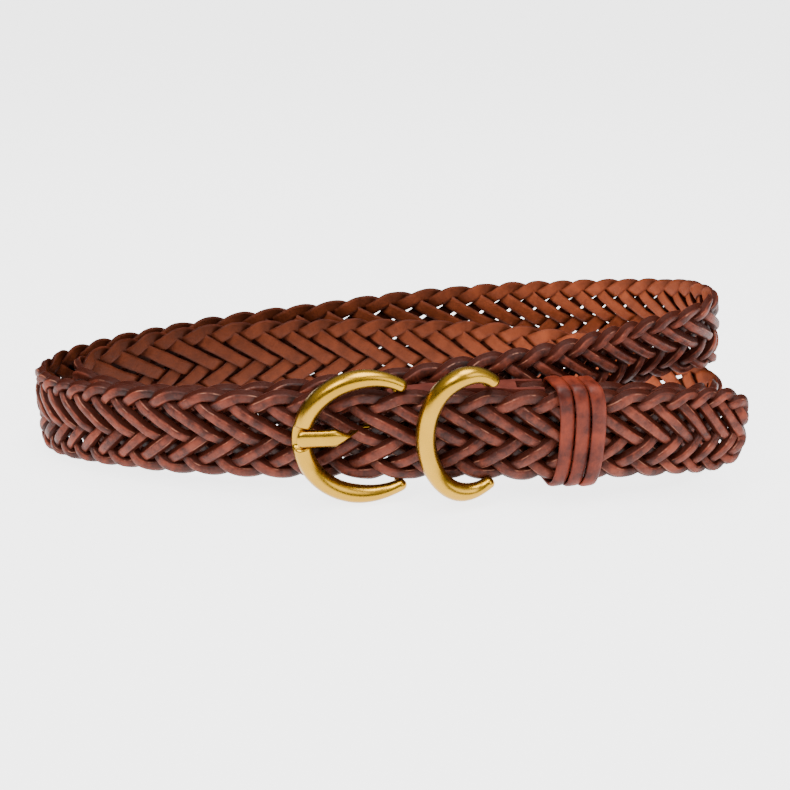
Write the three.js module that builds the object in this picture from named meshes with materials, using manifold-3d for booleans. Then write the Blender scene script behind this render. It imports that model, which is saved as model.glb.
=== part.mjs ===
// Braided leather belt, fastened and coiled in two turns, standing on its lower edge.
// Millimetres, +Z up. +X runs along the front strap towards the free tip, -Y is the front of the coil.
// The strap's lower edge follows a table of shares; every fitting is placed from the same sizes.
import * as THREE from "three";
import { mergeVertices } from "three/addons/utils/BufferGeometryUtils.js";
import Module from "manifold-3d";

const wasm = await Module();
wasm.setup();

// Strap
const strapWidth = 28;
const strapThickness = 4;
const coilHalfLength = 111;
const coilDepth = 85;
const braidPitch = 10;
const scallopDepth = 1.5;
const strapCornerChamfer = 0.9;
const tipCornerRadius = 9;
const fitGap = 0.3;

// Folded leather end tab
const leafThickness = 1.3;
const tabReach = 41;
const tabSocketDepth = 7.5;
const tabFoldHalfHeight = 11.4;
const tabEndHalfHeight = 13.4;

// Brass fittings
const fittingHalfHeight = 20.5;
const brassHalfWidth = 2.3;
const brassHalfDepth = 2.4;
const barRadius = 1.2;
const barSlack = 0.25;
const lugRadius = 1.3;
const frameBarX = 0.6;
const frameCentreX = -7.5;
const frameHalfLength = 18.1;
const loopBarX = 25.6;
const loopCentreX = 20.5;
const loopHalfLength = 11.8;
const loopLift = 0.8;
const prongWidth = 4.4;
const prongThickness = 1.6;
const prongLift = 0.8;

// Leather keeper, three bands side by side
const bandCount = 3;
const bandWidth = 3.4;
const bandThickness = 1.2;
const keeperPastTab = 8.9;
const keeperTurn = 0.24;

// One step from a strap layer to the next at the front, with a leather leaf between them.
const layerStep = strapThickness + leafThickness + 2 * fitGap;
// The fittings stand on the ground and carry the front strap clear of it.
const frontLift = fittingHalfHeight - strapWidth / 2;
const fittingCentreZ = fittingHalfHeight;
const prongCentreZ = fittingCentreZ + prongLift;
// The turn that lies on top of another one clears it by this much.
const stackLift = strapWidth + fitGap + strapThickness * 0.2;

// The buckle end of the strap stops short of the bottom of the tab's socket.
const strapEndX = tabReach - tabSocketDepth + fitGap;
const keeperX = tabReach + keeperPastTab;

// Route of the strap's lower edge, free tip first.
// x: share of coilHalfLength. layer: front layers behind the first. depth: share of coilDepth.
// front, stack: shares of frontLift and stackLift, added up for the height above the ground.
// leanX, leanY: how far the upper edge is carried sideways, as shares of strapWidth.
const routeTable = [
  // x, layer, depth, front, stack, leanX, leanY
  [0.874, 0, 0.056, 1, 0, 0, 0],
  [0.757, 0, 0.033, 1, 0, 0, 0],
  [0.595, 0, 0.014, 1, 0, 0, 0],
  [0.405, 0, 0, 1, 0, 0, 0],
  [0.315, 0, 0.0005, 1, 0, 0, 0],
  [0.25, 0, 0.004, 1, 0, 0, 0],
  [0.18, 0, 0.006, 0.99, 0, 0, 0],
  [0.063, 0, 0.006, 0.985, 0, 0, 0],
  [-0.036, 0, 0.01, 0.97, 0, 0, 0],
  [-0.09, 0, 0.023, 0.89, 0, 0, 0],
  [-0.145, 0, 0.038, 0.82, 0, 0, 0],
  [-0.207, 0, 0.041, 0.78, 0, 0, 0],
  [-0.28, 0, 0.045, 0.75, 0, 0, 0],
  [-0.378, 0, 0.056, 0.71, 0, 0, 0],
  [-0.47, 0, 0.075, 0.68, 0, 0, 0],
  [-0.612, 0, 0.119, 0.54, 0, 0, 0],
  [-0.739, 0, 0.173, 0.4, 0, 0, 0],
  [-0.85, 0, 0.238, 0.23, 0, 0, 0],
  [-0.944, 0, 0.317, 0.09, 0, 0.02, 0],
  [-1, 0, 0.438, 0, 0.003, 0.05, 0],
  [-0.968, 0, 0.573, 0, 0.003, 0.03, 0],
  [-0.878, 0, 0.689, 0, 0, 0, 0],
  [-0.753, 0, 0.805, 0, 0, 0, 0],
  [-0.595, 0, 0.911, 0, 0.017, 0, 0],
  [-0.414, 0, 0.976, 0, 0.069, 0, 0],
  [-0.225, 0, 1, 0, 0.137, 0, 0],
  [-0.027, 0, 1.006, 0, 0.237, 0, 0],
  [0.162, 0, 1.006, 0, 0.323, 0, -0.02],
  [0.333, 0, 0.988, 0, 0.406, -0.04, -0.07],
  [0.514, 0, 0.935, 0, 0.522, -0.11, -0.14],
  [0.676, 0, 0.835, 0, 0.673, -0.14, -0.21],
  [0.811, 0, 0.688, 0, 0.852, -0.21, -0.28],
  [0.872, 0, 0.512, 0, 0.996, -0.27, -0.28],
  [0.864, 0, 0.376, 0, 1, -0.19, -0.27],
  [0.806, 0, 0.317, 0, 0.99, -0.16, -0.38],
  [0.725, 1, 0.236, 0, 0.962, -0.18, -0.47],
  [0.638, 2, 0.138, 0, 0.867, -0.18, -0.42],
  [0.555, 2, 0.095, 0, 0.73, -0.13, -0.28],
  [0.414, 2, 0.045, 0, 0.557, -0.09, -0.13],
  [0.243, 2, 0.013, 0, 0.44, -0.03, -0.02],
  [0.045, 2, 0.001, 0, 0.309, 0, 0],
  [-0.144, 2, 0, 0, 0.216, 0, 0],
  [-0.333, 2, 0, 0, 0.144, 0, 0],
  [-0.505, 2, 0.016, 0, 0.079, 0, 0],
  [-0.658, 2, 0.075, 0, 0.034, 0, 0],
  [-0.784, 2, 0.16, 0, 0.007, 0, 0],
  [-0.869, 2, 0.258, 0, 0, 0, 0],
  [-0.897, 2, 0.356, 0, 0, 0, 0],
  [-0.865, 2, 0.452, 0, 0, 0, 0],
  [-0.784, 2, 0.561, 0, 0, 0, 0],
  [-0.685, 2, 0.652, 0, 0, 0, 0],
  [-0.57, 2, 0.713, 0, 0, 0, 0],
  [-0.405, 2, 0.752, 0, 0, 0, 0],
  [-0.216, 2, 0.774, 0, 0, 0, 0],
  [0, 2, 0.775, 0, 0, 0, 0],
  [0.225, 2, 0.751, 0, 0, 0, 0],
  [0.423, 2, 0.687, 0, 0, 0, 0],
  [0.586, 2, 0.596, 0, 0, 0, 0],
  [0.721, 2, 0.48, 0, 0, 0, 0],
  [0.82, 1, 0.431, 0, 0, 0, 0],
  [0.865, 1, 0.296, 0, 0, 0, 0],
  [0.847, 1, 0.172, 0.18, 0, 0, 0],
  [0.775, 1, 0.075, 0.5, 0, 0, 0],
  [0.667, 1, 0.021, 0.85, 0, 0, 0],
  [0.57, 1, 0.001, 1, 0, 0, 0],
  [0.45, 1, 0, 1, 0, 0, 0],
  [strapEndX / coilHalfLength, 1, 0, 1, 0, 0, 0],
];
const routeSamples = 1200;
// Stations over one scallop of the edge: a flat crest between two of them, then the notch.
const scallopTable = [
  // share of the pitch, share of scallopDepth
  [-1 / 6, 0],
  [1 / 6, 0],
  [1 / 2, 1],
];
const tipStationShares = [0, 0.08, 0.28, 0.58];

// Tab outline seen from the front: share of tabReach, share of the way to the end's half height.
const tabOutlineTable = [
  [-0.1, 0],
  [0.04, 0.12],
  [0.24, 0.55],
  [0.45, 0.95],
  [1.01, 1],
];

// Each cast C stands forward at its left limb and bends back over this share of its run.
const frameLimbY = -2.5;
const frameTipX = 1.8;
const frameTipY = 0.5;
const frameBendStart = 0;
const loopLimbY = -4.2;
const loopTipX = 26.8;
const loopTipY = -1.8;
const loopBendStart = 0.3;
const brassTaper = 0.62;
const taperShare = 0.34;

// Prong in plan: flat over the left limb, a joggle back through the braid, then the eye.
const prongNoseX = -26.4;
const prongFrontY = -3.9;
const joggleTable = [
  // x, y
  [-16.4, prongFrontY],
  [-15.2, -3.3],
  [-11.8, 0.1],
  [-10.4, 0.9],
];
const noseTable = [
  // distance from the nose and half height, as shares of the prong's half width
  [0, 0.5],
  [0.16, 0.76],
  [0.5, 0.95],
  [0.9, 1],
];
const strapSlotStart = -13.8;
const strapSlotEnd = 0.9;

const sweepStations = 44;
const sectionSides = 10;
const roundSides = 16;

// Route, measured along its length
const routePoints = routeTable.map(([x, layer, depth, front, stack]) => new THREE.Vector3(
  x * coilHalfLength,
  layer * layerStep + depth * coilDepth,
  front * frontLift + stack * stackLift,
));
const leanPoints = routeTable.map((row) => new THREE.Vector3(row[5], row[6], 0));
const routeCurve = new THREE.CatmullRomCurve3(routePoints, false, "centripetal");
const leanCurve = new THREE.CatmullRomCurve3(leanPoints, false, "catmullrom", 0.5);

const routeLengths = [0];
let previousPoint = routeCurve.getPoint(0);
for (let i = 1; i <= routeSamples; i++) {
  const point = routeCurve.getPoint(i / routeSamples);
  routeLengths.push(routeLengths[i - 1] + point.distanceTo(previousPoint));
  previousPoint = point;
}
const strapLength = routeLengths[routeSamples];

// Lower-edge point, along, up and across directions at a distance from the free tip
function stationAt(distance) {
  let i = 1;
  while (i < routeSamples && routeLengths[i] < distance) i++;
  const span = routeLengths[i] - routeLengths[i - 1];
  const t = (i - 1 + (distance - routeLengths[i - 1]) / span) / routeSamples;
  const share = Math.min(1, Math.max(0, t));
  const point = routeCurve.getPoint(share);
  point.z = Math.max(0, point.z);
  const along = routeCurve.getTangent(share);
  const lean = leanCurve.getPoint(share);
  const up = new THREE.Vector3(lean.x, lean.y, Math.sqrt(1 - lean.x ** 2 - lean.y ** 2));
  const across = new THREE.Vector3().crossVectors(along, up).normalize();
  return { point, along, up, across };
}

// A closed body from rings of equal count, first ring and last ring capped
function bodyFromRings(rings) {
  const sides = rings[0].length;
  const positions = rings.flat().flatMap((p) => [p.x, p.y, p.z]);
  const index = [];
  for (let r = 0; r < rings.length - 1; r++) {
    for (let k = 0; k < sides; k++) {
      const a = r * sides + k;
      const b = r * sides + ((k + 1) % sides);
      index.push(a, b, b + sides, a, b + sides, a + sides);
    }
  }
  const last = (rings.length - 1) * sides;
  for (let k = 1; k < sides - 1; k++) {
    index.push(0, k + 1, k);
    index.push(last, last + k, last + k + 1);
  }
  const geometry = new THREE.BufferGeometry();
  geometry.setAttribute("position", new THREE.Float32BufferAttribute(positions, 3));
  geometry.setIndex(index);
  return geometry;
}

function solidOf(geometry) {
  const bare = geometry.clone();
  bare.deleteAttribute("normal");
  bare.deleteAttribute("uv");
  const merged = mergeVertices(bare, 1e-4);
  const solid = (triVerts) => new wasm.Manifold(new wasm.Mesh({
    numProp: 3,
    vertProperties: new Float32Array(merged.attributes.position.array),
    triVerts,
  }));
  const triVerts = new Uint32Array(merged.index.array);
  const made = solid(triVerts);
  return made.volume() > 0 ? made : solid(triVerts.reverse());
}

function geometryOf(solid) {
  const mesh = solid.getMesh();
  const geometry = new THREE.BufferGeometry();
  const positions = [];
  for (let i = 0; i < mesh.vertProperties.length; i += mesh.numProp) {
    positions.push(...mesh.vertProperties.slice(i, i + 3));
  }
  geometry.setAttribute("position", new THREE.Float32BufferAttribute(positions, 3));
  geometry.setIndex(Array.from(mesh.triVerts));
  geometry.computeVertexNormals();
  return geometry;
}

// Prisms: an outline in plan raised along Z, and an outline seen from the front carried along Y
function prismAlongZ(shape, low, high) {
  const geometry = new THREE.ExtrudeGeometry(shape, {
    depth: high - low, bevelEnabled: false, curveSegments: roundSides / 2,
  });
  return geometry.translate(0, 0, low);
}

function prismAlongY(shape, near, far) {
  const geometry = new THREE.ExtrudeGeometry(shape, {
    depth: far - near, bevelEnabled: false, curveSegments: roundSides / 2,
  });
  return geometry.rotateX(Math.PI / 2).translate(0, far, 0);
}

function circlePath(x, y, radius) {
  const path = new THREE.Path();
  path.absarc(x, y, radius, 0, 2 * Math.PI, true);
  return path;
}

// Strap
function strapRing(distance, inset) {
  const { point, up, across } = stationAt(distance);
  const half = strapThickness / 2;
  const c = strapCornerChamfer;
  const low = inset;
  const high = strapWidth - inset;
  const outline = [
    [-half + c, low], [-half, low + c], [-half, high - c], [-half + c, high],
    [half - c, high], [half, high - c], [half, low + c], [half - c, low],
  ];
  return outline.map(([a, v]) => point.clone().addScaledVector(across, a).addScaledVector(up, v));
}

function strapBody() {
  const rings = tipStationShares.map((share) => {
    const short = tipCornerRadius * (1 - share);
    const inset = tipCornerRadius - Math.sqrt(tipCornerRadius ** 2 - short ** 2);
    return strapRing(share * tipCornerRadius, inset);
  });
  const scallops = Math.floor((strapLength - tipCornerRadius) / braidPitch);
  const pitch = (strapLength - tipCornerRadius) / scallops;
  for (let i = 0; i < scallops; i++) {
    for (const [along, deep] of scallopTable) {
      rings.push(strapRing(tipCornerRadius + (i + 1 / 6 + along) * pitch, deep * scallopDepth));
    }
  }
  rings.push(strapRing(strapLength, 0));
  return bodyFromRings(rings);
}

// Prong: a flat bar swept along its plan, ending in an open eye round the frame's bar
const barY = layerStep;
const eyeInnerRadius = barRadius + barSlack;
const eyeOuterRadius = eyeInnerRadius + prongThickness;
const eyeOpenTurn = 0.6;
const eyeSteps = 18;

function prongBody() {
  const half = prongWidth / 2;
  const eyeRadius = (eyeInnerRadius + eyeOuterRadius) / 2;
  const eye = new THREE.Vector2(frameBarX, barY);
  const path = noseTable.map(([along, share]) => (
    { at: new THREE.Vector2(prongNoseX + along * half, prongFrontY), half: share * half }
  ));
  for (const [x, y] of joggleTable) path.push({ at: new THREE.Vector2(x, y), half });
  const towards = eye.clone().sub(path[path.length - 1].at);
  const dive = towards.angle() - Math.asin(eyeRadius / towards.length());
  for (let i = 0; i <= eyeSteps; i++) {
    const start = dive - Math.PI / 2;
    const turn = start + (i / eyeSteps) * (Math.PI - eyeOpenTurn - start);
    const spoke = new THREE.Vector2(Math.cos(turn), Math.sin(turn)).multiplyScalar(eyeRadius);
    path.push({ at: eye.clone().add(spoke), half });
  }
  const rings = path.map(({ at, half: tall }, i) => {
    const before = path[Math.max(0, i - 1)].at;
    const after = path[Math.min(path.length - 1, i + 1)].at;
    const along = after.clone().sub(before).normalize();
    const side = new THREE.Vector2(-along.y, along.x).multiplyScalar(prongThickness / 2);
    return [[1, -1], [-1, -1], [-1, 1], [1, 1]].map(([s, up]) => new THREE.Vector3(
      at.x + s * side.x, at.y + s * side.y, prongCentreZ + up * tall,
    ));
  });
  return bodyFromRings(rings);
}

function boxSolid(low, high) {
  const size = high.clone().sub(low);
  const box = new THREE.BoxGeometry(size.x, size.y, size.z);
  const centre = low.clone().add(high).multiplyScalar(0.5);
  return solidOf(box.translate(centre.x, centre.y, centre.z));
}

// The parting in the braid and the notch in the left limb that the prong lies in
const slotHalf = prongWidth / 2 + fitGap;
const strapSlot = boxSolid(
  new THREE.Vector3(strapSlotStart, -layerStep, prongCentreZ - slotHalf),
  new THREE.Vector3(strapSlotEnd, layerStep + strapThickness / 3, prongCentreZ + slotHalf),
);
const limbNotch = boxSolid(
  new THREE.Vector3(prongNoseX - fitGap, -2 * layerStep, prongCentreZ - slotHalf),
  new THREE.Vector3(
    frameCentreX, prongFrontY + prongThickness / 2 + fitGap, prongCentreZ + slotHalf,
  ),
);

function rodSolid(from, to, radius) {
  const rod = new THREE.CylinderGeometry(radius, radius, from.distanceTo(to), roundSides);
  const turn = new THREE.Quaternion().setFromUnitVectors(
    new THREE.Vector3(0, 1, 0), to.clone().sub(from).normalize(),
  );
  const middle = from.clone().add(to).multiplyScalar(0.5);
  return solidOf(rod.applyQuaternion(turn).translate(middle.x, middle.y, middle.z));
}

// A cast C: an oval section swept round an ellipse that bends back, with its bar set behind on lugs
function castLoop({ barX, centreX, centreZ, halfLength, limbY, tipX, tipY, bendStart }) {
  const limb = centreX - halfLength;
  const rise = fittingHalfHeight - brassHalfWidth;
  const tipAngle = Math.acos((tipX - centreX) / halfLength);
  const pointAt = (angle) => {
    const x = centreX + halfLength * Math.cos(angle);
    const run = THREE.MathUtils.smoothstep((x - limb) / (tipX - limb), bendStart, 1);
    return new THREE.Vector3(
      x, limbY + (tipY - limbY) * run, centreZ + rise * Math.sin(angle),
    );
  };
  const rings = [];
  for (let i = 0; i <= sweepStations; i++) {
    const share = i / sweepStations;
    const angle = tipAngle + share * 2 * (Math.PI - tipAngle);
    const point = pointAt(angle);
    const step = 0.004;
    const along = pointAt(angle + step).sub(pointAt(angle - step)).normalize();
    const outward = new THREE.Vector3(point.x - centreX, 0, point.z - centreZ);
    const deep = new THREE.Vector3().crossVectors(along, outward).normalize();
    const wide = new THREE.Vector3().crossVectors(deep, along).normalize();
    const fromTip = Math.min(share, 1 - share) * 2;
    const rounded = fromTip === 0 ? 0.55 : 1;
    const size = rounded * (brassTaper + (1 - brassTaper) * Math.min(1, fromTip / taperShare));
    const ring = [];
    for (let k = 0; k < sectionSides; k++) {
      const turn = (k / sectionSides) * 2 * Math.PI;
      ring.push(point.clone()
        .addScaledVector(wide, brassHalfWidth * size * Math.cos(turn))
        .addScaledVector(deep, brassHalfDepth * size * Math.sin(turn)));
    }
    rings.push(ring);
  }
  const barAngle = Math.acos((barX - centreX) / halfLength);
  let cast = solidOf(bodyFromRings(rings));
  const ends = [barAngle, 2 * Math.PI - barAngle].map((angle) => {
    const arm = pointAt(angle);
    const end = new THREE.Vector3(arm.x, barY, arm.z);
    cast = cast.add(rodSolid(arm, new THREE.Vector3(arm.x, barY + barRadius, arm.z), lugRadius));
    return end;
  });
  return cast.add(rodSolid(ends[0], ends[1], barRadius));
}

// End tab: one leather leaf folded round the frame's bar, with a socket for the strap's end
function tabSolid() {
  const foldHalf = barRadius + barSlack + leafThickness;
  const socketHalf = strapThickness / 2 + fitGap;
  const endHalf = socketHalf + leafThickness;
  const socketX = tabReach - tabSocketDepth;
  const plan = new THREE.Shape();
  plan.moveTo(frameBarX, barY - foldHalf);
  plan.lineTo(loopBarX + foldHalf, barY - foldHalf);
  plan.lineTo(socketX, barY - endHalf);
  plan.lineTo(tabReach, barY - endHalf);
  plan.lineTo(tabReach, barY - socketHalf);
  plan.lineTo(socketX, barY - socketHalf);
  plan.lineTo(socketX, barY + socketHalf);
  plan.lineTo(tabReach, barY + socketHalf);
  plan.lineTo(tabReach, barY + endHalf);
  plan.lineTo(socketX, barY + endHalf);
  plan.lineTo(loopBarX + foldHalf, barY + foldHalf);
  plan.lineTo(frameBarX, barY + foldHalf);
  plan.absarc(frameBarX, barY, foldHalf, Math.PI / 2, 1.5 * Math.PI, false);
  plan.holes.push(circlePath(frameBarX, barY, barRadius + barSlack));
  plan.holes.push(circlePath(loopBarX, barY, barRadius + barSlack));
  const body = solidOf(prismAlongZ(
    plan, fittingCentreZ - tabEndHalfHeight, fittingCentreZ + tabEndHalfHeight,
  ));
  const outline = tabOutlineTable.map(([x, share]) => new THREE.Vector2(
    x * tabReach, tabFoldHalfHeight + (tabEndHalfHeight - tabFoldHalfHeight) * share,
  ));
  const lower = outline.map((p) => new THREE.Vector2(p.x, -p.y)).reverse();
  const front = new THREE.Shape([...outline, ...lower]);
  const trim = prismAlongY(front, barY - layerStep, barY + layerStep);
  const slot = boxSolid(
    new THREE.Vector3(frameBarX - 2 * foldHalf, barY - layerStep, prongCentreZ - slotHalf),
    new THREE.Vector3(
      frameBarX + eyeOuterRadius + fitGap, barY + layerStep, prongCentreZ + slotHalf,
    ),
  );
  return body.intersect(solidOf(trim.translate(0, 0, fittingCentreZ))).subtract(slot);
}

// Keeper band: a rounded leather loop round both straps
function bandGeometry() {
  // A band that is turned by keeperTurn needs this much more room in depth.
  const turnRoom = bandWidth * Math.sin(keeperTurn) / 2;
  const frontY = -barY / 2 - strapThickness / 2 - fitGap - turnRoom;
  const backY = -frontY;
  const innerHalf = strapWidth / 2 + fitGap;
  const loop = (Kind, spread, radius) => {
    const path = new Kind();
    const y0 = frontY - spread;
    const y1 = backY + spread;
    const z = innerHalf + spread;
    path.moveTo(y0 + radius, -z);
    path.lineTo(y1 - radius, -z);
    path.absarc(y1 - radius, -z + radius, radius, -Math.PI / 2, 0, false);
    path.lineTo(y1, z - radius);
    path.absarc(y1 - radius, z - radius, radius, 0, Math.PI / 2, false);
    path.lineTo(y0 + radius, z);
    path.absarc(y0 + radius, z - radius, radius, Math.PI / 2, Math.PI, false);
    path.lineTo(y0, -z + radius);
    path.absarc(y0 + radius, -z + radius, radius, Math.PI, 1.5 * Math.PI, false);
    return path;
  };
  const outer = loop(THREE.Shape, bandThickness, bandThickness + strapCornerChamfer / 2);
  outer.holes.push(loop(THREE.Path, 0, strapCornerChamfer / 2));
  const bevel = bandThickness * 0.35;
  const geometry = new THREE.ExtrudeGeometry(outer, {
    depth: bandWidth - 2 * bevel,
    bevelThickness: bevel,
    bevelSize: bevel,
    bevelOffset: -bevel,
    bevelSegments: 1,
    curveSegments: 3,
  });
  // Outline axes (y, z) and the extrusion along X
  const turn = new THREE.Matrix4().makeBasis(
    new THREE.Vector3(0, 1, 0), new THREE.Vector3(0, 0, 1), new THREE.Vector3(1, 0, 0),
  );
  return geometry.applyMatrix4(turn).translate(bevel - bandWidth / 2, 0, 0);
}

// Materials
const leather = (name, colour, roughness) => new THREE.MeshStandardMaterial({
  name, color: colour, roughness, metalness: 0,
});
const braidLeather = leather("braid_leather", 0x6b3526, 0.55);
const keeperLeather = leather("keeper_leather", 0x7a3a28, 0.5);
const tabLeather = leather("tab_leather", 0x5c2c22, 0.55);
const brass = new THREE.MeshStandardMaterial({
  name: "satin_brass", color: 0xc9a24a, roughness: 0.32, metalness: 1,
});

// Assembly
const belt = new THREE.Group();
belt.name = "coiled_braided_belt";

function addPart(name, geometry, material) {
  const mesh = new THREE.Mesh(geometry, material);
  mesh.name = name;
  belt.add(mesh);
  return mesh;
}

addPart("braided_strap", geometryOf(solidOf(strapBody()).subtract(strapSlot)), braidLeather);
const frame = castLoop({
  barX: frameBarX, centreX: frameCentreX, centreZ: fittingCentreZ,
  halfLength: frameHalfLength, limbY: frameLimbY, tipX: frameTipX, tipY: frameTipY,
  bendStart: frameBendStart,
});
addPart("buckle_frame", geometryOf(frame.subtract(limbNotch)), brass);
addPart("buckle_prong", geometryOf(solidOf(prongBody())), brass);
addPart("keeper_ring", geometryOf(castLoop({
  barX: loopBarX, centreX: loopCentreX, centreZ: fittingCentreZ + loopLift,
  halfLength: loopHalfLength, limbY: loopLimbY, tipX: loopTipX, tipY: loopTipY,
  bendStart: loopBendStart,
})), brass);
addPart("end_tab", geometryOf(tabSolid()), tabLeather);
const bandStep = (bandWidth + fitGap) / Math.cos(keeperTurn);
for (let i = 0; i < bandCount; i++) {
  const band = addPart(`keeper_band_${i + 1}`, bandGeometry(), keeperLeather);
  const x = keeperX + (i - (bandCount - 1) / 2) * bandStep;
  band.position.set(x, barY / 2, fittingCentreZ);
  band.rotation.z = keeperTurn;
}

// The origin sits under the middle of the whole belt, on the ground.
const bounds = new THREE.Box3().setFromObject(belt, true);
const middle = bounds.getCenter(new THREE.Vector3());
belt.position.set(-middle.x, -middle.y, -bounds.min.z);

export default belt;
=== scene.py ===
import math

import bpy
import numpy as np
from mathutils import Matrix, Vector


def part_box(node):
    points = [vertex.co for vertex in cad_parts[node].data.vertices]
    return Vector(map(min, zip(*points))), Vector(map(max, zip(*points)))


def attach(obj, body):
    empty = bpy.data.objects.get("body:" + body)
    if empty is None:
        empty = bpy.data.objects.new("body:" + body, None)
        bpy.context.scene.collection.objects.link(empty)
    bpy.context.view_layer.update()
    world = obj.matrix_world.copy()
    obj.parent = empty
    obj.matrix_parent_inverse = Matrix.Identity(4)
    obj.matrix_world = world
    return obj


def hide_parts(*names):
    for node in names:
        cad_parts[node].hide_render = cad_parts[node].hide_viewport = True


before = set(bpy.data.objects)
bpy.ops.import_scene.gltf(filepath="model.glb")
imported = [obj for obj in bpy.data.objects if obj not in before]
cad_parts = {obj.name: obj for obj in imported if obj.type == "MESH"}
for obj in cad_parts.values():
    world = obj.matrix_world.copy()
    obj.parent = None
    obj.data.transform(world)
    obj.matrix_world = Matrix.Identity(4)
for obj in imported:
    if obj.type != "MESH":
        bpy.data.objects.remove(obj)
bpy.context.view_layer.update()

MM = 0.001

# Strap
STRAP_WIDTH = 28.0
STRAP_THICKNESS = 4.0
COIL_HALF_LENGTH = 111.0
COIL_DEPTH = 85.0
TIP_CORNER_RADIUS = 12.5
TIP_REACH = 2.8
FIT_GAP = 0.3
LEAF_THICKNESS = 1.3
TAB_REACH = 41.0

# Laces
LACE_RISE = 1.08
LACE_STEP = 0.9
EDGE_INSET = 2.45
# How far apart two neighbouring laces are along the strap, by distance from the tip
PITCHES = np.array([
    # distance, pitch
    [-12, 7.0], [0, 7.0], [12, 5.3], [24, 8.0], [40, 9.8], [60, 9.8], [100, 12.4], [135, 10.9],
    [160, 9.6], [180, 7.5], [200, 5.8], [215, 6.2], [240, 8.0], [262, 9.5], [290, 11.0],
    [361, 11.2], [395, 9.6], [420, 8.0], [450, 7.2], [475, 6.3], [505, 6.3], [525, 7.2],
    [545, 8.6], [600, 10.0], [1000, 10.0],
])
FIRST_CREST = 4.8
FULL_PITCH = 9.5
# Right half of a lace's section: a crowned face outside, sides that slope in, a flat face inside
LACE_HALF_SECTION = [
    # across, out
    (0, 1.12), (0.56, 1.1), (1.02, 0.99), (1.36, 0.7), (1.56, 0.15), (2.26, -0.55), (2.24, -0.84),
    (1.2, -0.93), (0, -0.95),
]

# Fittings
FITTING_HALF_HEIGHT = 20.5
BAR_RADIUS = 1.2
FRAME_BAR_X = 0.6
FRAME_CENTRE_X = -7.5
FRAME_HALF_LENGTH = 18.1
LOOP_BAR_X = 25.6
LOOP_CENTRE_X = 20.4
LOOP_HALF_LENGTH = 12.05
LOOP_LIFT = 2.1
LUG_RADIUS = 0.9
BRASS_HALF_WIDTH = 2.8
BRASS_HALF_DEPTH = 2.8
PRONG_LIFT = 1.7
PRONG_HALF_HEIGHT = 2.65

# Keeper
BAND_COUNT = 3
BAND_WIDTH = 3.4
BAND_THICKNESS = 1.2
BAND_SWELL = 0.5
KEEPER_X = 49.9
KEEPER_TURN = 0.24

LAYER_STEP = STRAP_THICKNESS + LEAF_THICKNESS + 2 * FIT_GAP
FRONT_LIFT = FITTING_HALF_HEIGHT - STRAP_WIDTH / 2
STACK_LIFT = STRAP_WIDTH + FIT_GAP + STRAP_THICKNESS * 0.2
CENTRE_Z = FITTING_HALF_HEIGHT
PRONG_Z = CENTRE_Z + PRONG_LIFT

# The belt's own frame is found from the tab, whose end and middle plane are known sizes.
tab_low, tab_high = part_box("end_tab")
SHIFT = np.array([
    tab_high.x / MM - TAB_REACH,
    (tab_low.y + tab_high.y) / 2 / MM - LAYER_STEP,
    0.0,
])

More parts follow.
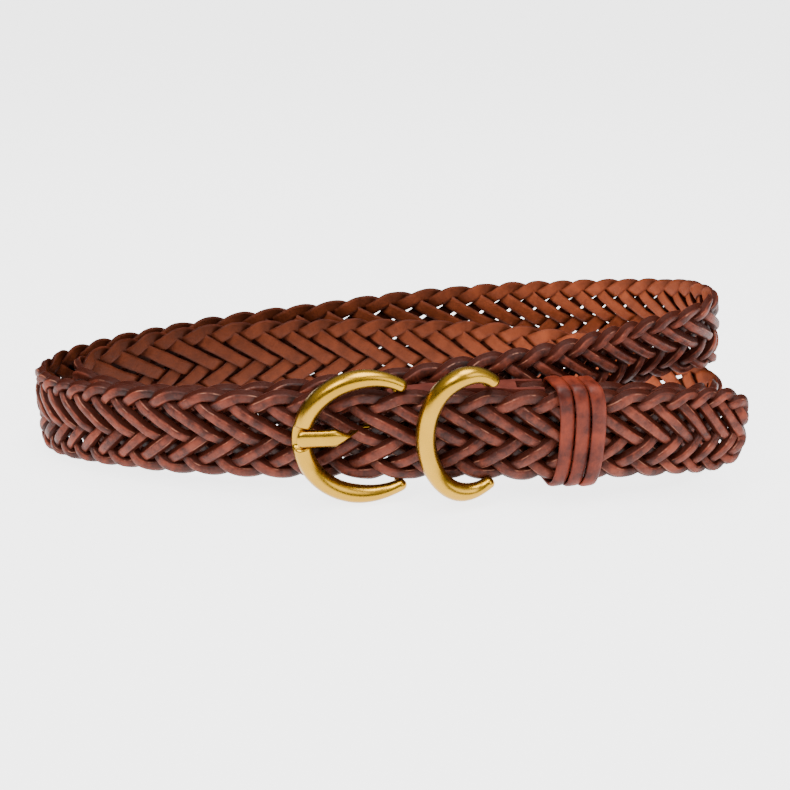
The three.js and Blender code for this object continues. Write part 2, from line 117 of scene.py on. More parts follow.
# Route of the strap's lower edge, free tip first: shares as in the model's source.
ROUTE = np.array([
    # x, layer, depth, front, stack, leanX, leanY
    [0.874, 0, 0.056, 1, 0, 0, 0],
    [0.757, 0, 0.033, 1, 0, 0, 0],
    [0.595, 0, 0.014, 1, 0, 0, 0],
    [0.405, 0, 0, 1, 0, 0, 0],
    [0.315, 0, 0.0005, 1, 0, 0, 0],
    [0.25, 0, 0.004, 1, 0, 0, 0],
    [0.18, 0, 0.006, 0.99, 0, 0, 0],
    [0.063, 0, 0.006, 0.985, 0, 0, 0],
    [-0.036, 0, 0.01, 0.97, 0, 0, 0],
    [-0.09, 0, 0.023, 0.89, 0, 0, 0],
    [-0.145, 0, 0.038, 0.82, 0, 0, 0],
    [-0.207, 0, 0.041, 0.78, 0, 0, 0],
    [-0.28, 0, 0.045, 0.75, 0, 0, 0],
    [-0.378, 0, 0.056, 0.71, 0, 0, 0],
    [-0.47, 0, 0.075, 0.68, 0, 0, 0],
    [-0.612, 0, 0.119, 0.54, 0, 0, 0],
    [-0.739, 0, 0.173, 0.4, 0, 0, 0],
    [-0.85, 0, 0.238, 0.23, 0, 0, 0],
    [-0.944, 0, 0.317, 0.09, 0, 0.02, 0],
    [-1, 0, 0.438, 0, 0.003, 0.05, 0],
    [-0.968, 0, 0.573, 0, 0.003, 0.03, 0],
    [-0.878, 0, 0.689, 0, 0, 0, 0],
    [-0.753, 0, 0.805, 0, 0, 0, 0],
    [-0.595, 0, 0.911, 0, 0.017, 0, 0],
    [-0.414, 0, 0.976, 0, 0.069, 0, 0],
    [-0.225, 0, 1, 0, 0.137, 0, 0],
    [-0.027, 0, 1.006, 0, 0.237, 0, 0],
    [0.162, 0, 1.006, 0, 0.323, 0, -0.02],
    [0.333, 0, 0.988, 0, 0.406, -0.04, -0.07],
    [0.514, 0, 0.935, 0, 0.522, -0.11, -0.14],
    [0.676, 0, 0.835, 0, 0.673, -0.14, -0.21],
    [0.811, 0, 0.688, 0, 0.852, -0.21, -0.28],
    [0.872, 0, 0.512, 0, 0.996, -0.27, -0.28],
    [0.864, 0, 0.376, 0, 1, -0.19, -0.27],
    [0.806, 0, 0.317, 0, 0.99, -0.16, -0.38],
    [0.725, 1, 0.236, 0, 0.962, -0.18, -0.47],
    [0.638, 2, 0.138, 0, 0.867, -0.18, -0.42],
    [0.555, 2, 0.095, 0, 0.73, -0.13, -0.28],
    [0.414, 2, 0.045, 0, 0.557, -0.09, -0.13],
    [0.243, 2, 0.013, 0, 0.44, -0.03, -0.02],
    [0.045, 2, 0.001, 0, 0.309, 0, 0],
    [-0.144, 2, 0, 0, 0.216, 0, 0],
    [-0.333, 2, 0, 0, 0.144, 0, 0],
    [-0.505, 2, 0.016, 0, 0.079, 0, 0],
    [-0.658, 2, 0.075, 0, 0.034, 0, 0],
    [-0.784, 2, 0.16, 0, 0.007, 0, 0],
    [-0.869, 2, 0.258, 0, 0, 0, 0],
    [-0.897, 2, 0.356, 0, 0, 0, 0],
    [-0.865, 2, 0.452, 0, 0, 0, 0],
    [-0.784, 2, 0.561, 0, 0, 0, 0],
    [-0.685, 2, 0.652, 0, 0, 0, 0],
    [-0.57, 2, 0.713, 0, 0, 0, 0],
    [-0.405, 2, 0.752, 0, 0, 0, 0],
    [-0.216, 2, 0.774, 0, 0, 0, 0],
    [0, 2, 0.775, 0, 0, 0, 0],
    [0.225, 2, 0.751, 0, 0, 0, 0],
    [0.423, 2, 0.687, 0, 0, 0, 0],
    [0.586, 2, 0.596, 0, 0, 0, 0],
    [0.721, 2, 0.48, 0, 0, 0, 0],
    [0.82, 1, 0.431, 0, 0, 0, 0],
    [0.865, 1, 0.296, 0, 0, 0, 0],
    [0.847, 1, 0.172, 0.18, 0, 0, 0],
    [0.775, 1, 0.075, 0.5, 0, 0, 0],
    [0.667, 1, 0.021, 0.85, 0, 0, 0],
    [0.57, 1, 0.001, 1, 0, 0, 0],
    [0.45, 1, 0, 1, 0, 0, 0],
    [0.305, 1, 0, 1, 0, 0, 0],
])
ROUTE_SAMPLES = 1200


def catmull_rom(points, share, centripetal):
    """A point on the spline through points, for a share from 0 to 1 of its knots."""
    last = len(points) - 1
    place = last * share
    i = min(int(math.floor(place)), last - 1)
    w = place - i
    p1, p2 = points[i], points[i + 1]
    p0 = points[i - 1] if i > 0 else 2 * points[0] - points[1]
    p3 = points[i + 2] if i + 2 <= last else 2 * points[last] - points[last - 1]
    if centripetal:
        steps = [float(np.sum((b - a) ** 2)) ** 0.25 for a, b in ((p0, p1), (p1, p2), (p2, p3))]
        d1 = steps[1] if steps[1] > 1e-4 else 1.0
        d0 = steps[0] if steps[0] > 1e-4 else d1
        d2 = steps[2] if steps[2] > 1e-4 else d1
        t1 = ((p1 - p0) / d0 - (p2 - p0) / (d0 + d1) + (p2 - p1) / d1) * d1
        t2 = ((p2 - p1) / d1 - (p3 - p1) / (d1 + d2) + (p3 - p2) / d2) * d1
    else:
        t1, t2 = (p2 - p0) / 2, (p3 - p1) / 2
    return p1 + t1 * w + (-3 * p1 + 3 * p2 - 2 * t1 - t2) * w**2 + (2 * p1 - 2 * p2 + t1 + t2) * w**3


route_points = np.column_stack([
    ROUTE[:, 0] * COIL_HALF_LENGTH,
    ROUTE[:, 1] * LAYER_STEP + ROUTE[:, 2] * COIL_DEPTH,
    ROUTE[:, 3] * FRONT_LIFT + ROUTE[:, 4] * STACK_LIFT,
])
lean_points = ROUTE[:, 5:7]
shares = np.linspace(0, 1, ROUTE_SAMPLES + 1)
low_edge = np.array([catmull_rom(route_points, s, True) for s in shares])
leans = np.array([catmull_rom(lean_points, s, False) for s in shares])
route_lengths = np.concatenate([[0], np.cumsum(np.linalg.norm(np.diff(low_edge, axis=0), axis=1))])
STRAP_LENGTH = route_lengths[-1]
low_edge[:, 2] = np.maximum(low_edge[:, 2], 0)
alongs = np.gradient(low_edge, axis=0)
alongs /= np.linalg.norm(alongs, axis=1)[:, None]
ups = np.column_stack([leans, np.sqrt(1 - np.sum(leans**2, axis=1))])
acrosses = np.cross(alongs, ups)
acrosses /= np.linalg.norm(acrosses, axis=1)[:, None]


def on_strap(distance, height, out):
    """Places on the strap: distance from the tip, height over the lower edge, distance out of its middle."""
    def at_distance(values):
        return np.column_stack([np.interp(distance, route_lengths, values[:, k]) for k in range(3)])
    edge, up, across = at_distance(low_edge), at_distance(ups), at_distance(acrosses)
    edge = edge + alongs[0] * np.minimum(distance, 0)[:, None]
    return edge + up * np.asarray(height)[:, None] - across * np.asarray(out)[:, None]


def outward(distance):
    out = -np.column_stack([np.interp(distance, route_lengths, acrosses[:, k]) for k in range(3)])
    return out / np.linalg.norm(out, axis=1)[:, None]


def smoothstep(x, low=0.0, high=1.0):
    t = np.clip((np.asarray(x, float) - low) / (high - low), 0, 1)
    return t * t * (3 - 2 * t)


# Meshes
def mesh_object(name, points, faces, material, uv_maps=(), smooth=True):
    """A mesh piece from points in the belt's own millimetres, with named UV maps by point."""
    mesh = bpy.data.meshes.new(name)
    mesh.from_pydata(((np.asarray(points) + SHIFT) * MM).tolist(), [], faces)
    loop_vertex = np.zeros(len(mesh.loops), int)
    mesh.loops.foreach_get("vertex_index", loop_vertex)
    for map_name, uv in uv_maps:
        layer = mesh.uv_layers.new(name=map_name)
        layer.data.foreach_set("uv", np.asarray(uv, np.float32)[loop_vertex].ravel())
    mesh.materials.append(material)
    mesh.update()
    if smooth:
        mesh.shade_smooth()
    piece = bpy.data.objects.new(name, mesh)
    bpy.context.scene.collection.objects.link(piece)
    return piece


def tube_faces(rings, sides, closed=False):
    faces = []
    for r in range(rings if closed else rings - 1):
        n = (r + 1) % rings
        for k in range(sides):
            m = (k + 1) % sides
            faces.append((r * sides + k, r * sides + m, n * sides + m, n * sides + k))
    if not closed:
        faces.append(tuple(range(sides - 1, -1, -1)))
        faces.append(tuple((rings - 1) * sides + k for k in range(sides)))
    return faces


def swept(name, centres, sides_dir, outs, section, scale, levels, material):
    """A tube: section points (a along sides_dir, b along outs), its width scaled ring by ring.

    Its UV maps hold the run along it with the rise over its section, and each ring's level."""
    ring_count, side_count = len(centres), len(section)
    points = np.zeros((ring_count, side_count, 3))
    for k, (a, b) in enumerate(section):
        points[:, k] = centres + sides_dir * (a * scale)[:, None] + outs * b
    run = np.concatenate([[0], np.cumsum(np.linalg.norm(np.diff(centres, axis=0), axis=1))])
    uv = np.zeros((ring_count, side_count, 2))
    uv[:, :, 0] = run[:, None] * MM
    rises = np.array([b for _, b in section])
    uv[:, :, 1] = ((rises - rises.min()) / (rises.max() - rises.min()))[None, :]
    level_uv = np.zeros((ring_count, side_count, 2))
    level_uv[:, :, 0] = levels[:, None]
    uv_maps = (("run", uv.reshape(-1, 2)), ("level", level_uv.reshape(-1, 2)))
    return mesh_object(name, points.reshape(-1, 3), tube_faces(ring_count, side_count), material, uv_maps)


def superellipse(half_width, half_height, count, power):
    points = []
    for k in range(count):
        turn = 2 * math.pi * k / count
        c, s = math.cos(turn), math.sin(turn)
        points.append((
            half_width * math.copysign(abs(c) ** power, c),
            half_height * math.copysign(abs(s) ** power, s),
        ))
    return points


# Materials
def node_material(name):
    material = bpy.data.materials.new(name)
    material.use_nodes = True
    tree = material.node_tree
    shader = tree.nodes["Principled BSDF"]
    return material, tree, shader


def add(tree, kind, **values):
    node = tree.nodes.new(kind)
    for key, value in values.items():
        setattr(node, key, value)
    return node


def noise(tree, vector, scale, detail=4.0, roughness=0.55):
    node = add(tree, "ShaderNodeTexNoise")
    node.inputs["Scale"].default_value = scale
    node.inputs["Detail"].default_value = detail
    node.inputs["Roughness"].default_value = roughness
    tree.links.new(vector, node.inputs["Vector"])
    return node.outputs["Fac"]


def ramp(tree, value, stops):
    node = add(tree, "ShaderNodeValToRGB")
    elements = node.color_ramp.elements
    while len(elements) < len(stops):
        elements.new(0.5)
    for element, (place, colour) in zip(elements, stops):
        element.position = place
        element.color = (*colour, 1) if len(colour) == 3 else colour
    tree.links.new(value, node.inputs["Fac"])
    return node.outputs["Color"]


def grey(value):
    return (value, value, value)


def mix(tree, factor, a, b, blend="MIX"):
    node = add(tree, "ShaderNodeMix", data_type="RGBA", blend_type=blend)
    for value, socket in ((factor, 0), (a, 6), (b, 7)):
        if isinstance(value, (int, float)):
            node.inputs[socket].default_value = value
        elif isinstance(value, tuple):
            node.inputs[socket].default_value = (*value, 1)
        else:
            tree.links.new(value, node.inputs[socket])
    return node.outputs[2]


def math_node(tree, operation, a, b=0.0):
    node = add(tree, "ShaderNodeMath", operation=operation)
    for value, socket in ((a, 0), (b, 1)):
        if isinstance(value, (int, float)):
            node.inputs[socket].default_value = value
        else:
            tree.links.new(value, node.inputs[socket])
    return node.outputs[0]


def bump(tree, shader, height, strength, distance):
    node = add(tree, "ShaderNodeBump")
    node.inputs["Strength"].default_value = strength
    node.inputs["Distance"].default_value = distance
    tree.links.new(height, node.inputs["Height"])
    tree.links.new(node.outputs["Normal"], shader.inputs["Normal"])


def lace_material(name, outer, outer_dark, inner, side, edge):
    """Waxed lace: outer face by its own colours, sides painted dark as shade, a lighter inner face, thin
    pale edges that are partly wear and partly painted highlight.
    """
    material, tree, shader = node_material(name)
    uv = add(tree, "ShaderNodeUVMap", uv_map="run").outputs["UV"]
    split = add(tree, "ShaderNodeSeparateXYZ")
    tree.links.new(uv, split.inputs[0])
    rise = split.outputs["Y"]
    place = add(tree, "ShaderNodeTexCoord").outputs["Object"]
    stretch = add(tree, "ShaderNodeMapping")
    stretch.inputs["Scale"].default_value = (220, 5, 1)
    tree.links.new(uv, stretch.inputs["Vector"])
    streaks = noise(tree, stretch.outputs["Vector"], 1.0, 5.0, 0.6)
    blotches = noise(tree, place, 230, 4.0, 0.6)
    grain = noise(tree, place, 1600, 3.0, 0.6)
    tone = math_node(tree, "ADD", math_node(tree, "MULTIPLY", streaks, 0.5),
                     math_node(tree, "MULTIPLY", blotches, 0.5))
    # Tone by place over the belt, partly dye and partly painted light and shade: darker in the middle
    # outside, lighter to the right inside.
    belt_place = add(tree, "ShaderNodeSeparateXYZ")
    tree.links.new(place, belt_place.inputs[0])
    belt_share = math_node(tree, "ADD", math_node(tree, "MULTIPLY", belt_place.outputs["X"], 4.5), 0.5)
    outer_dye_and_painted_light = ramp(tree, belt_share, [(0.05, grey(1)), (0.35, grey(0.8)), (0.6, grey(0.66)),
                                        (0.97, grey(1))])
    inner_dye_and_painted_light = ramp(tree, belt_share, [(0.2, grey(0.27)), (0.6, grey(0.44)), (0.85, grey(1))])
    outer_tone = ramp(tree, tone, [(0.42, outer_dark), (0.6, outer)])
    outer_tone = mix(tree, 1.0, outer_tone, outer_dye_and_painted_light, "MULTIPLY")
    inner_tone = ramp(tree, tone, [(0.36, tuple(c * 0.6 for c in inner)), (0.6, inner)])
    inner_tone = mix(tree, 1.0, inner_tone, inner_dye_and_painted_light, "MULTIPLY")
    # Painted shade: a lace is darker where it runs under another, which deepens the gaps between laces.
    levels = add(tree, "ShaderNodeSeparateXYZ")
    tree.links.new(add(tree, "ShaderNodeUVMap", uv_map="level").outputs["UV"], levels.inputs[0])
    outer_painted_shade = ramp(tree, levels.outputs["X"], [(0.15, grey(0.2)), (0.8, grey(1))])
    inner_painted_shade = ramp(tree, levels.outputs["X"], [(0.2, grey(1)), (0.8, grey(0.4))])
    outer_tone = mix(tree, 1.0, outer_tone, outer_painted_shade, "MULTIPLY")
    inner_tone = mix(tree, 1.0, inner_tone, inner_painted_shade, "MULTIPLY")
    # The rise over the section runs from 0 on the inner face to 1 on the crown of the outer face.
    is_inner = ramp(tree, rise, [(0.02, grey(1)), (0.1, grey(0))])
    # Painted shade: the sides of each lace are coloured dark so that the gaps between laces read dark.
    is_side = ramp(tree, rise, [(0.08, grey(0)), (0.2, grey(1)), (0.66, grey(1)), (0.86, grey(0))])
    body = mix(tree, is_inner, outer_tone, inner_tone)
    body = mix(tree, is_side, body, side)
    # Partly worn raw edge, partly painted highlight: a thin pale line along the edge of each lace's crown,
    # in patches.
    is_edge = ramp(tree, rise, [(0.78, grey(0)), (0.85, grey(1)), (0.93, grey(0))])
    worn_and_highlit = ramp(tree, noise(tree, place, 240, 3.0, 0.6), [(0.52, grey(0)), (0.62, grey(1))])
    rim = math_node(tree, "MULTIPLY", math_node(tree, "MULTIPLY", is_edge, worn_and_highlit), 0.6)
    tree.links.new(mix(tree, rim, body, edge), shader.inputs["Base Color"])
    rough = ramp(tree, blotches, [(0.3, grey(0.42)), (0.7, grey(0.58))])
    tree.links.new(rough, shader.inputs["Roughness"])
    tree.links.new(ramp(tree, rise, [(0.7, grey(0.07)), (0.9, grey(0.2))]),
                   shader.inputs["Specular IOR Level"])
    height = math_node(tree, "ADD", math_node(tree, "MULTIPLY", streaks, 0.9), grain)
    bump(tree, shader, height, 0.6, 0.0003)
    return material


def smooth_leather(name, light, dark, scale, roughness):
    material, tree, shader = node_material(name)
    place = add(tree, "ShaderNodeTexCoord").outputs["Object"]
    blotches = noise(tree, place, scale, 4.0, 0.6)
    grain = noise(tree, place, 1500, 3.0, 0.6)
    tree.links.new(ramp(tree, blotches, [(0.36, dark), (0.64, light)]), shader.inputs["Base Color"])
    tree.links.new(
        ramp(tree, blotches, [(0.3, grey(roughness - 0.08)), (0.7, grey(roughness + 0.08))]),
        shader.inputs["Roughness"],
    )
    shader.inputs["Specular IOR Level"].default_value = 0.17
    bump(tree, shader, math_node(tree, "ADD", grain, blotches), 0.4, 0.0002)
    return material


def brass_material(name, light, dark):
    material, tree, shader = node_material(name)
    place = add(tree, "ShaderNodeTexCoord").outputs["Object"]
    clouds = noise(tree, place, 60, 3.0, 0.5)
    fine = noise(tree, place, 900, 3.0, 0.6)
    tree.links.new(ramp(tree, clouds, [(0.3, dark), (0.7, light)]), shader.inputs["Base Color"])
    tree.links.new(ramp(tree, fine, [(0.3, grey(0.25)), (0.7, grey(0.31))]), shader.inputs["Roughness"])
    shader.inputs["Metallic"].default_value = 1.0
    bump(tree, shader, fine, 0.02, 0.00005)
    return material


LACE_OUTER = (0.185, 0.036, 0.017)
LACE_OUTER_DARK = (0.042, 0.006, 0.002)
LACE_INNER = (0.31, 0.068, 0.025)
# Painted shade: the colour of the laces' sides, dark so that the gaps between them read dark.
LACE_SIDE_SHADE = (0.03, 0.005, 0.002)
# Pale edge colour: partly worn raw edge, partly painted highlight where the lace's crown bends.
LACE_EDGE_AND_HIGHLIGHT = (0.34, 0.14, 0.085)
braid_leather = lace_material(
    "braid_leather", LACE_OUTER, LACE_OUTER_DARK, LACE_INNER, LACE_SIDE_SHADE, LACE_EDGE_AND_HIGHLIGHT
)
keeper_leather = smooth_leather("keeper_leather", (0.16, 0.022, 0.008), (0.035, 0.004, 0.0015), 160, 0.48)
tab_leather = smooth_leather("tab_leather", (0.12, 0.026, 0.016), (0.06, 0.013, 0.009), 140, 0.45)
satin_brass = brass_material("satin_brass", (0.45, 0.25, 0.022), (0.33, 0.175, 0.011))


# Braid: each lace crosses the strap in four pitches, over and under by its row and direction
fine_distance = np.linspace(PITCHES[0, 0], PITCHES[-1, 0], 8001)
fine_rate = 1 / np.interp(fine_distance, PITCHES[:, 0], PITCHES[:, 1])
fine_phase = np.concatenate([[0], np.cumsum((fine_rate[1:] + fine_rate[:-1]) / 2 * np.diff(fine_distance))])
fine_phase -= np.interp(FIRST_CREST, fine_distance, fine_phase)
# Mirrored here, each lace runs on as another one of the eight, so these four make the braid.
MIRROR_PHASE = -1.5
TIP_MIRROR = float(np.interp(MIRROR_PHASE, fine_phase, fine_distance))
TIP_ROUND = EDGE_INSET - TIP_REACH - TIP_MIRROR
DOUBLED_LACES = (0, 1, 2, 6)
ROWS = 8
# Rows counted from the upper edge where the lace that climbs along the front lies outside
CLIMBING_OUTSIDE = (1, 5, 6)
EDGE_POWER = 2.6


def lace_path(index):
    """Distance, height and outward offset along one lace that doubles back at the free tip."""
    reach = STRAP_LENGTH - 1.0 - TIP_MIRROR
    t = np.arange(-reach, reach, LACE_STEP)
    past_mirror = np.sqrt(t**2 + TIP_ROUND**2)
    distance = TIP_MIRROR + past_mirror
    # Rounded in place at the tip but not in phase, so that a lace keeps crossing while it turns.
    even_run = TIP_MIRROR + past_mirror - TIP_ROUND * np.exp(-np.abs(t) / TIP_ROUND)
    travelled = np.interp(even_run, fine_distance, fine_phase) - MIRROR_PHASE
    phase = np.where(t < 0, -travelled, travelled) + MIRROR_PHASE - index
    wave = np.mod(phase, ROWS)
    falling = wave < ROWS / 2
    row = np.where(falling, wave * 2, (ROWS - wave) * 2)
    # A lace seen along the strap climbs or falls the other way on the stretch before the tip's turn.
    climbs = np.logical_xor(falling, t < 0)
    signs = np.zeros((2, ROWS + 1))
    for r in range(1, ROWS):
        signs[1, r] = 1 if r in CLIMBING_OUTSIDE else -1
        signs[0, r] = -signs[1, r]
    low_row = np.clip(np.floor(row).astype(int), 0, ROWS - 1)
    part = smoothstep(row - low_row, 0.12, 0.88)
    family = climbs.astype(int)
    out = signs[family, low_row] * (1 - part) + signs[family, low_row + 1] * part
    inset_rows = EDGE_INSET / STRAP_WIDTH * ROWS
    from_top = (row**EDGE_POWER + inset_rows**EDGE_POWER) ** (1 / EDGE_POWER)
    back = ROWS - row
    from_bottom = (back**EDGE_POWER + inset_rows**EDGE_POWER) ** (1 / EDGE_POWER)
    share = np.where(row < ROWS / 2, from_top, ROWS - from_bottom) / ROWS
    short = np.clip(TIP_CORNER_RADIUS - TIP_REACH - distance, 0, TIP_CORNER_RADIUS)
    inset = TIP_CORNER_RADIUS - np.sqrt(TIP_CORNER_RADIUS**2 - short**2)
    height = STRAP_WIDTH - inset - share * (STRAP_WIDTH - 2 * inset)
    keep = distance < STRAP_LENGTH - 0.5
    return distance[keep], height[keep], out[keep] * LACE_RISE, t[keep]


def lace(index):
    distance, height, out, t = lace_path(index)
    kernel = np.array([1, 2, 3, 2, 1]) / 9
    out = np.convolve(np.pad(out, 2, mode="edge"), kernel, mode="valid")
    centres = on_strap(distance, height, out)
    along = np.gradient(centres, axis=0)
    along /= np.linalg.norm(along, axis=1)[:, None]
    normal = outward(distance)
    normal -= along * np.sum(along * normal, axis=1)[:, None]
    normal /= np.linalg.norm(normal, axis=1)[:, None]
    side = np.cross(along, normal)
    section = LACE_HALF_SECTION + [(-a, b) for a, b in LACE_HALF_SECTION[-2:0:-1]]
    sway = 1 + 0.05 * np.sin(t * 0.31 + index * 1.7) + 0.03 * np.sin(t * 0.83 + index * 2.9)
    local_pitch = np.interp(distance, PITCHES[:, 0], PITCHES[:, 1])
    sway *= np.minimum(1, local_pitch / FULL_PITCH) ** 0.5
    # 0 where the lace lies inside another, 1 where it lies outside
    levels = (out / LACE_RISE + 1) / 2
    return swept(f"lace_{index + 1}", centres, side, normal, section, sway, levels, braid_leather)


laces = [lace(i) for i in DOUBLED_LACES]
for piece in laces:
    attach(piece, "root")
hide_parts("braided_strap")


# Brass
def cast_section():
    """Section of the cast brass: a flat facet on the outer rim, a ridge, a full round face, a flat back."""
    w, d = BRASS_HALF_WIDTH, BRASS_HALF_DEPTH
    return [
        (w, -0.15 * d), (0.86 * w, 0.42 * d), (0.62 * w, 0.74 * d), (0.36 * w, 0.93 * d),
        (0.05 * w, d), (-0.3 * w, 0.93 * d), (-0.62 * w, 0.72 * d), (-0.86 * w, 0.4 * d),
        (-w, -0.05 * d), (-0.9 * w, -0.5 * d), (-0.6 * w, -0.85 * d), (-0.1 * w, -0.95 * d),
        (0.4 * w, -0.95 * d), (0.8 * w, -0.66 * d),
    ]


def round_rod(points, path, radius, count=18):
    """Adds a round rod along a path that stays at one length along the strap; gives its faces."""
    path = np.array(path, float)
    along = np.gradient(path, axis=0)
    along /= np.linalg.norm(along, axis=1)[:, None]
    side = np.array([1.0, 0, 0])
    base = len(points)
    for place, direction in zip(path, along):
        other = np.cross(direction, side)
        for k in range(count):
            turn = 2 * math.pi * k / count
            points.append(place + radius * (math.cos(turn) * side + math.sin(turn) * other))
    return [tuple(base + i for i in face) for face in tube_faces(len(path), count)]


def cast_loop(name, bar_x, centre_x, centre_z, half_length, limb_y, tip_x, tip_y, bend_start, notch):
    """A cast loop with its lugs and bar; notch is how deep the limb's front is cut for the prong."""
    stations = 240
    limb = centre_x - half_length
    rise = FITTING_HALF_HEIGHT - BRASS_HALF_WIDTH
    tip_angle = math.acos((tip_x - centre_x) / half_length)

    def path(angle):
        x = centre_x + half_length * np.cos(angle)
        run = smoothstep((x - limb) / (tip_x - limb), bend_start, 1)
        return np.column_stack([x, limb_y + (tip_y - limb_y) * run, centre_z + rise * np.sin(angle)])

    angles = np.linspace(tip_angle, 2 * math.pi - tip_angle, stations)
    centres = path(angles)
    along = path(angles + 0.002) - path(angles - 0.002)
    along /= np.linalg.norm(along, axis=1)[:, None]
    away = centres - np.array([centre_x, 0, centre_z])
    away[:, 1] = 0
    front = np.cross(along, away)
    front /= np.linalg.norm(front, axis=1)[:, None]
    front *= np.where(front[:, 1] > 0, -1, 1)[:, None]
    wide = np.cross(front, along)
    wide *= np.where(np.sum(wide * away, axis=1) < 0, -1, 1)[:, None]
    share = np.linspace(0, 1, stations)
    from_tip = np.minimum(share, 1 - share) * 2
    size = 0.64 + 0.36 * smoothstep(from_tip, 0, 0.42)
    round_end = np.sqrt(1 - (1 - np.clip(from_tip / 0.045, 0, 1)) ** 2)
    size = size * np.maximum(round_end, 0.05)
    on_limb = np.exp(-((centres[:, 0] - limb) / 4) ** 4)
    cut = notch * on_limb * np.exp(-((centres[:, 2] - PRONG_Z) / (PRONG_HALF_HEIGHT + 0.5)) ** 10)
    section = cast_section()
    points = []
    for i in range(stations):
        for a, b in section:
            depth = min(b * size[i], BRASS_HALF_DEPTH - cut[i])
            points.append(centres[i] + wide[i] * a * size[i] + front[i] * depth)
    faces = tube_faces(stations, len(section))
    # Lugs run back past the strap's edges and curve in to the ends of the bar behind it.
    bar_angle = math.acos((bar_x - centre_x) / half_length)
    ends = []
    for angle, side in ((bar_angle, 1), (2 * math.pi - bar_angle, -1)):
        arm = path(np.array([angle]))[0]
        past_edge = CENTRE_Z + side * (STRAP_WIDTH / 2 + LUG_RADIUS + 0.4)
        lug = [arm, (bar_x, 0.9, (arm[2] + past_edge) / 2), (bar_x, 2.4, past_edge),
               (bar_x, 3.6, past_edge - side * 0.2), (bar_x, 4.8, past_edge - side * 0.9),
               (bar_x, LAYER_STEP, past_edge - side * 2.2)]
        faces += round_rod(points, lug, LUG_RADIUS)
        ends.append((bar_x, LAYER_STEP, past_edge - side * 1.6))
    faces += round_rod(points, ends, BAR_RADIUS)
    return mesh_object(name, points, faces, satin_brass)


frame_piece = cast_loop("frame_cast", FRAME_BAR_X, FRAME_CENTRE_X, CENTRE_Z, FRAME_HALF_LENGTH,
                        -2.8, 3.1, 0.3, 0.0, 2.2)
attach(frame_piece, "root")
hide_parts("buckle_frame")

ring_piece = cast_loop("ring_cast", LOOP_BAR_X, LOOP_CENTRE_X, CENTRE_Z + LOOP_LIFT, LOOP_HALF_LENGTH,
                       -4.5, 27.4, -2.0, 0.3, 0.0)
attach(ring_piece, "root")
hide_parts("keeper_ring")


def prong():
    """Flat bar with chamfered front edges: nose over the left limb, dive to a point, eye round the bar."""
    full = PRONG_HALF_HEIGHT
    eye_radius = BAR_RADIUS + 0.25 + 0.8
    path = [(-26.3, -5.2, full - 1.3), (-26.15, -5.25, full - 0.7), (-25.7, -5.3, full - 0.25),
            (-25.0, -5.3, full)]
    path += [(x, -5.3 + (x + 25) * 0.07, full - 0.15) for x in np.linspace(-24, -17.4, 8)]
    path += [(-16.3, -4.55, full), (-15.3, -4.2, full - 0.45), (-14.2, -3.6, full - 1.15),
             (-13.2, -2.9, full - 1.9), (-12.4, -2.1, 0.25), (-11.8, -1.0, 0.25), (-11.2, 0.4, 0.3),
             (-10.5, 1.8, 0.4), (-9.4, 3.0, 0.6)]
    eye = np.array([FRAME_BAR_X, LAYER_STEP])
    last = np.array(path[-1][:2])
    gap = eye - last
    dive = math.atan2(gap[1], gap[0]) - math.asin(eye_radius / np.linalg.norm(gap))
    start = dive - math.pi / 2
    for turn in np.linspace(start, math.pi - 0.6, 24):
        path.append((eye[0] + eye_radius * math.cos(turn), eye[1] + eye_radius * math.sin(turn), 2.2))
    path = np.array(path)
    along = np.gradient(path[:, :2], axis=0)
    along /= np.linalg.norm(along, axis=1)[:, None]
    side = np.column_stack([along[:, 1], -along[:, 0]])
    half = 0.95
    points = []
    for (x, y, tall), (sx, sy) in zip(path, side):
        for a, b in ((1, -0.45), (1, 0.45), (0.45, 0.88), (-0.8, 1), (-1, 0.8), (-1, -0.8), (-0.8, -1),
                     (0.45, -0.88)):
            points.append((x + sx * a * half, y + sy * a * half, PRONG_Z + b * tall))
    return mesh_object("prong_cast", points, tube_faces(len(path), 8), satin_brass)


prong_piece = prong()
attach(prong_piece, "root")
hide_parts("buckle_prong")


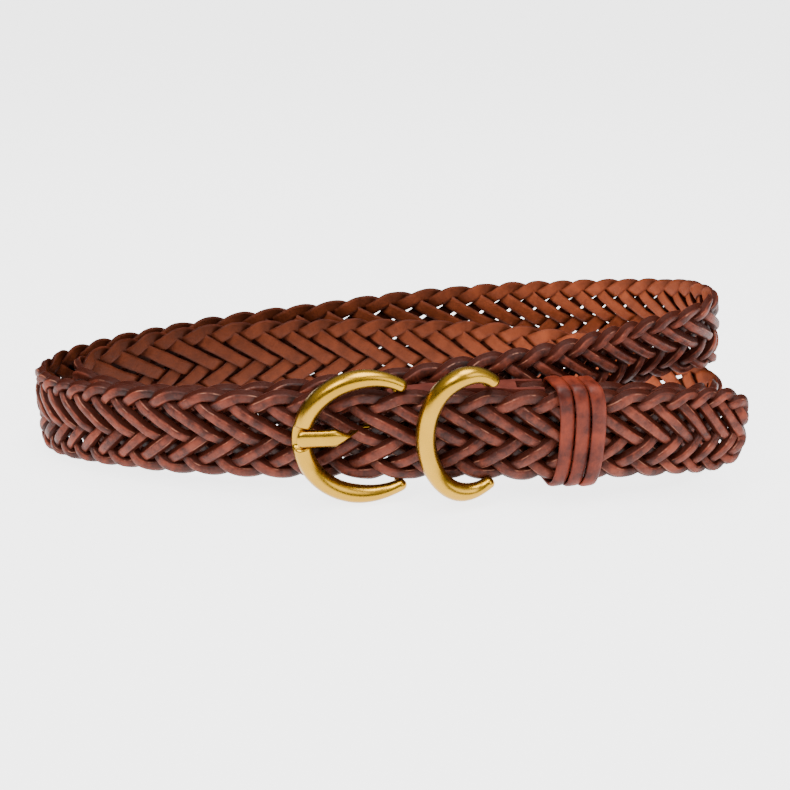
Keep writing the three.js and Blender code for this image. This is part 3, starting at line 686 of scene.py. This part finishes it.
# Keeper: three domed leather bands side by side round both straps
def keeper_band(index):
    stations = 96
    inner_half_z = STRAP_WIDTH / 2 + FIT_GAP
    half_y = LAYER_STEP / 2 + STRAP_THICKNESS / 2 + FIT_GAP + BAND_WIDTH * math.sin(KEEPER_TURN) / 2
    half_z = inner_half_z + BAND_THICKNESS / 2
    half_y += BAND_THICKNESS / 2
    step = (BAND_WIDTH + FIT_GAP) / math.cos(KEEPER_TURN) + BAND_SWELL
    middle_x = KEEPER_X - BAND_SWELL + (index - (BAND_COUNT - 1) / 2) * step
    power = 0.42
    turns = np.linspace(0, 2 * math.pi, 2000)
    y = half_y * np.sign(np.cos(turns)) * np.abs(np.cos(turns)) ** power
    z = half_z * np.sign(np.sin(turns)) * np.abs(np.sin(turns)) ** power
    run = np.concatenate([[0], np.cumsum(np.hypot(np.diff(y), np.diff(z)))])
    even = np.linspace(0, run[-1], stations, endpoint=False)
    y, z = np.interp(even, run, y), np.interp(even, run, z)
    bow = -1.3 * (np.abs(z) / half_z) ** 2.2 + 0.4
    centres = np.column_stack([np.zeros(stations), y, z])
    along = np.roll(centres, -1, axis=0) - np.roll(centres, 1, axis=0)
    along /= np.linalg.norm(along, axis=1)[:, None]
    wide = np.tile([1.0, 0, 0], (stations, 1))
    out = np.cross(along, wide)
    out *= np.where(np.sum(out * centres, axis=1) < 0, -1, 1)[:, None]
    centres[:, 0] = bow
    section = superellipse(
        (BAND_WIDTH + FIT_GAP + BAND_SWELL) / 2, BAND_THICKNESS / 2 + 0.1, 14, 0.75
    )
    spin = Matrix.Rotation(KEEPER_TURN, 3, "Z")
    turn = np.array(spin)
    points = np.zeros((stations, len(section), 3))
    for k, (a, b) in enumerate(section):
        points[:, k] = centres + wide * a + out * b
    points = points.reshape(-1, 3) @ turn.T + np.array([middle_x, LAYER_STEP / 2, CENTRE_Z + 0.3])
    return mesh_object(
        f"band_{index + 1}", points, tube_faces(stations, len(section), closed=True), keeper_leather
    )


for i in range(BAND_COUNT):
    band = keeper_band(i)
    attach(band, "root")
    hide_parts(f"keeper_band_{i + 1}")


# Tab: the modelled leaf takes its finish
tab_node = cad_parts["end_tab"]
tab_node.data.materials.clear()
tab_node.data.materials.append(tab_leather)


# Floor, light and camera
def paper_material(name, tone, glow):
    """Pale floor that is lit from itself too, so that the belt throws hardly any shadow."""
    material, tree, shader = node_material(name)
    place = add(tree, "ShaderNodeTexCoord").outputs["Object"]
    cloud = noise(tree, place, 3.0, 2.0, 0.5)
    tree.links.new(ramp(tree, cloud, [(0.3, grey(tone)), (0.7, grey(tone * 1.01))]),
                   shader.inputs["Base Color"])
    shader.inputs["Roughness"].default_value = 0.9
    shader.inputs["Specular IOR Level"].default_value = 0.1
    shader.inputs["Emission Color"].default_value = (1, 1, 1, 1)
    shader.inputs["Emission Strength"].default_value = glow
    return material


FLOOR_HALF = 20000.0
floor = mesh_object(
    "floor",
    [(-FLOOR_HALF, -FLOOR_HALF, -0.05), (FLOOR_HALF, -FLOOR_HALF, -0.05),
     (FLOOR_HALF, FLOOR_HALF, -0.05), (-FLOOR_HALF, FLOOR_HALF, -0.05)],
    [(0, 1, 2, 3)],
    paper_material("floor_paper", 0.35, 3.4),
    smooth=False,
)

world = bpy.data.worlds.new("studio")
world.use_nodes = True
sky_tree = world.node_tree
sky_direction = sky_tree.nodes.new("ShaderNodeSeparateXYZ")
sky_tree.links.new(
    sky_tree.nodes.new("ShaderNodeTexCoord").outputs["Generated"], sky_direction.inputs[0]
)
# Dim round the horizon and light overhead, so that the brass has something dark to mirror
sky_colour = ramp(sky_tree, sky_direction.outputs["Z"], [(0.25, grey(0.06)), (0.6, grey(1))])
sky_tree.links.new(sky_colour, sky_tree.nodes["Background"].inputs["Color"])
sky_tree.nodes["Background"].inputs["Strength"].default_value = 0.7
# Behind the floor's far edge the studio looks as pale as the floor.
backdrop = sky_tree.nodes.new("ShaderNodeBackground")
backdrop.inputs["Strength"].default_value = 4.5
seen_or_mirrored = sky_tree.nodes.new("ShaderNodeMixShader")
sky_tree.links.new(
    sky_tree.nodes.new("ShaderNodeLightPath").outputs["Is Camera Ray"], seen_or_mirrored.inputs[0]
)
sky_tree.links.new(sky_tree.nodes["Background"].outputs[0], seen_or_mirrored.inputs[1])
sky_tree.links.new(backdrop.outputs[0], seen_or_mirrored.inputs[2])
sky_tree.links.new(seen_or_mirrored.outputs[0], sky_tree.nodes["World Output"].inputs["Surface"])
bpy.context.scene.world = world


def area_light(name, place, target, size, power, colour=(1, 1, 1)):
    light = bpy.data.lights.new(name, "AREA")
    light.size = size
    light.energy = power
    light.color = colour
    lamp = bpy.data.objects.new(name, light)
    bpy.context.scene.collection.objects.link(lamp)
    lamp.location = Vector(place)
    lamp.rotation_mode = "QUATERNION"
    lamp.rotation_quaternion = (Vector(target) - Vector(place)).to_track_quat("-Z", "Y")
    return lamp


area_light("key_light", (-0.35, -0.45, 0.75), (0, 0, 0.02), 0.4, 8.0)
area_light("fill_light", (0.6, -0.5, 0.5), (0, 0, 0.02), 0.5, 3.5)
area_light("top_light", (0.1, -0.05, 0.95), (0, 0, 0), 0.55, 14.0)

CAMERA_Y = -235.5
CAMERA_Z = 138.0
CAMERA_PITCH = 24.0
FOCAL_PX = 950.0
IMAGE_PX = 790.0
SENSOR_MM = 36.0
camera_data = bpy.data.cameras.new("camera")
camera_data.sensor_width = SENSOR_MM
camera_data.lens = FOCAL_PX / IMAGE_PX * SENSOR_MM
camera = bpy.data.objects.new("camera", camera_data)
bpy.context.scene.collection.objects.link(camera)
camera.location = Vector((np.array([0, CAMERA_Y, CAMERA_Z]) + SHIFT) * MM)
camera.rotation_euler = (math.radians(90 - CAMERA_PITCH), 0, 0)
bpy.context.scene.camera = camera
